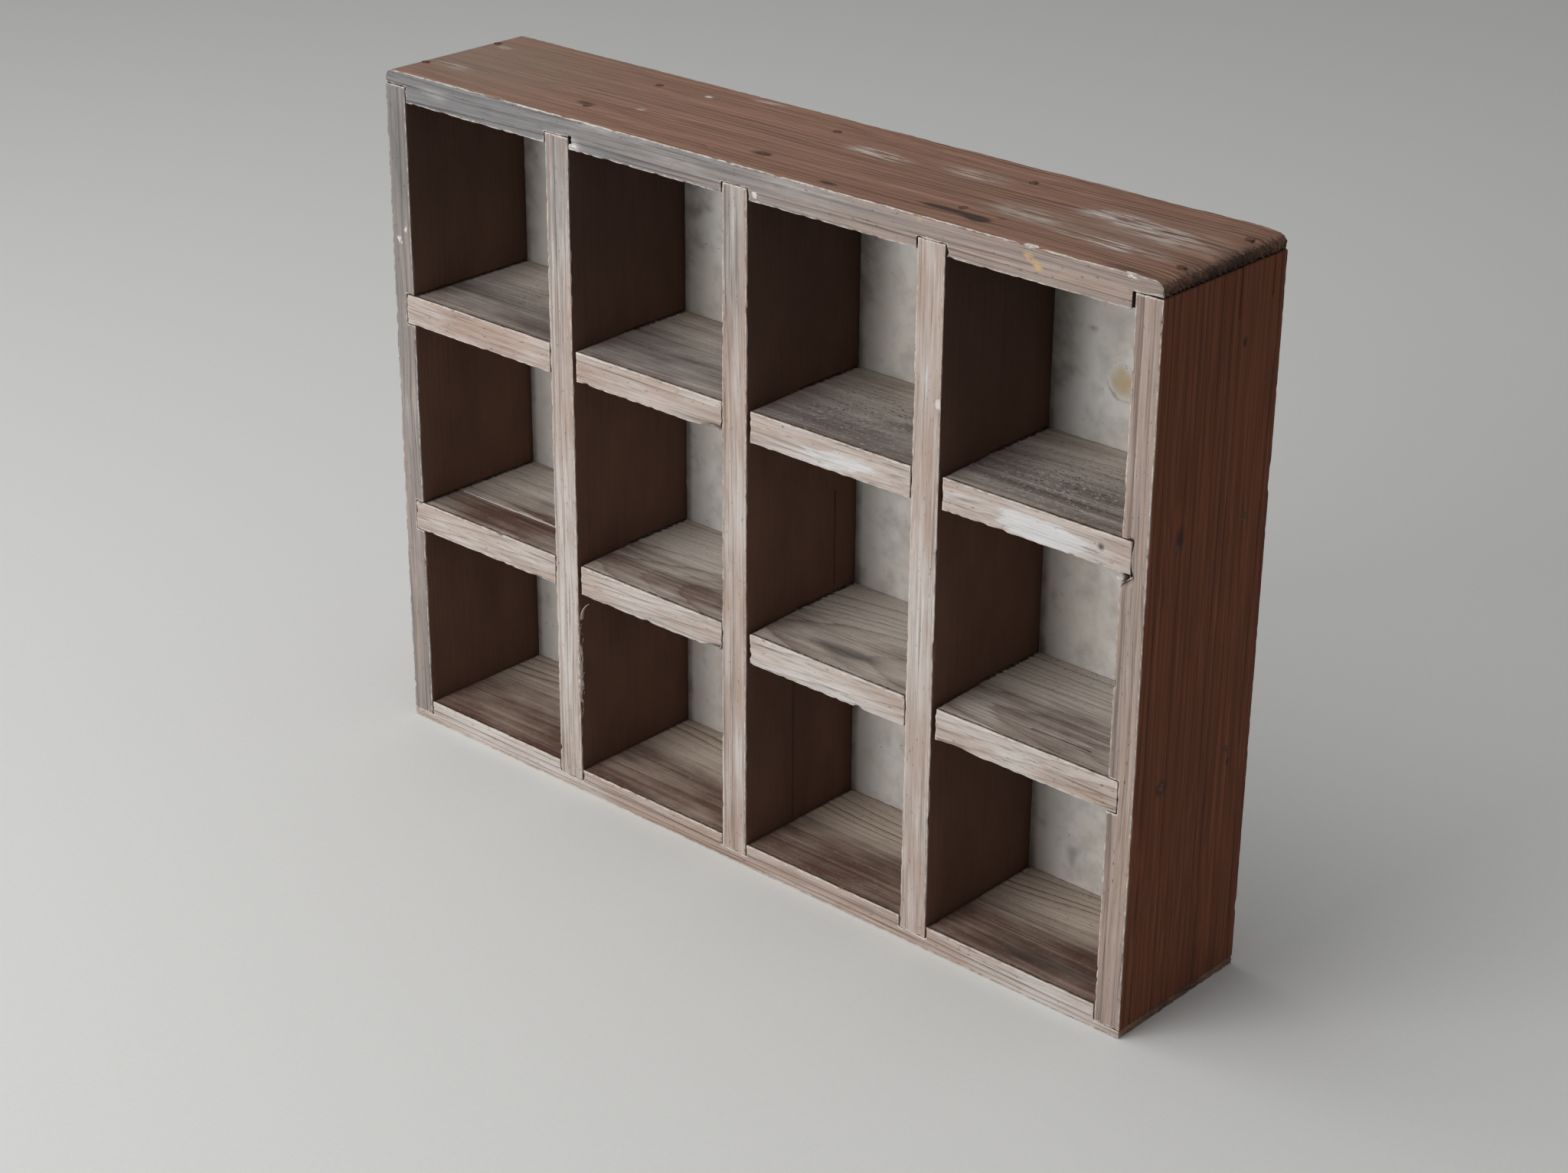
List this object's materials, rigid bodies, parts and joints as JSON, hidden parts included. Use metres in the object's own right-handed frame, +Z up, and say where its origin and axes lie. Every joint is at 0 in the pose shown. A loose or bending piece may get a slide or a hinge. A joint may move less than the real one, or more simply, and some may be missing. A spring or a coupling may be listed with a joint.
{
  "type": "pigeonhole rack",
  "caption": "Open wooden pigeonhole rack with square compartments, lap-jointed corners, housed dividers, cross-halved shelves and a nailed back panel.",
  "frame": {"origin": "middle of the rack's underside, on the surface it stands on", "axes": "+X to the right seen from the front, the open front faces -Y, +Z up"},
  "size_m": [0.4996, 0.094, 0.379],
  "materials": {
    "weathered_top": "weathered reddish-brown softwood with pale scuffs",
    "pine_bottom": "dry brown softwood with strong grain and a pale front edge",
    "stained_side": "dark red-brown stained softwood with a pale front edge",
    "bleached_grid": "dry brown softwood with bleached front edges and remains of white paint",
    "grey_panel": "pale grey-beige sheet, dusty and stained",
    "rusted_nail": "dark rusted steel"
  },
  "bodies": {
    "root": {"top_board": "weathered_top", "bottom_board": "pine_bottom", "left_side": "stained_side", "right_side": "stained_side", "left_divider": "bleached_grid", "centre_divider": "bleached_grid", "right_divider": "bleached_grid", "lower_shelf": "bleached_grid", "upper_shelf": "bleached_grid", "back_panel": "grey_panel", "top_corner_nails": "rusted_nail", "bottom_corner_nails": "rusted_nail", "top_divider_nails": "rusted_nail", "bottom_divider_nails": "rusted_nail", "left_shelf_nails": "rusted_nail", "right_shelf_nails": "rusted_nail", "back_panel_pins": "rusted_nail"}
  },
  "joints": []
}
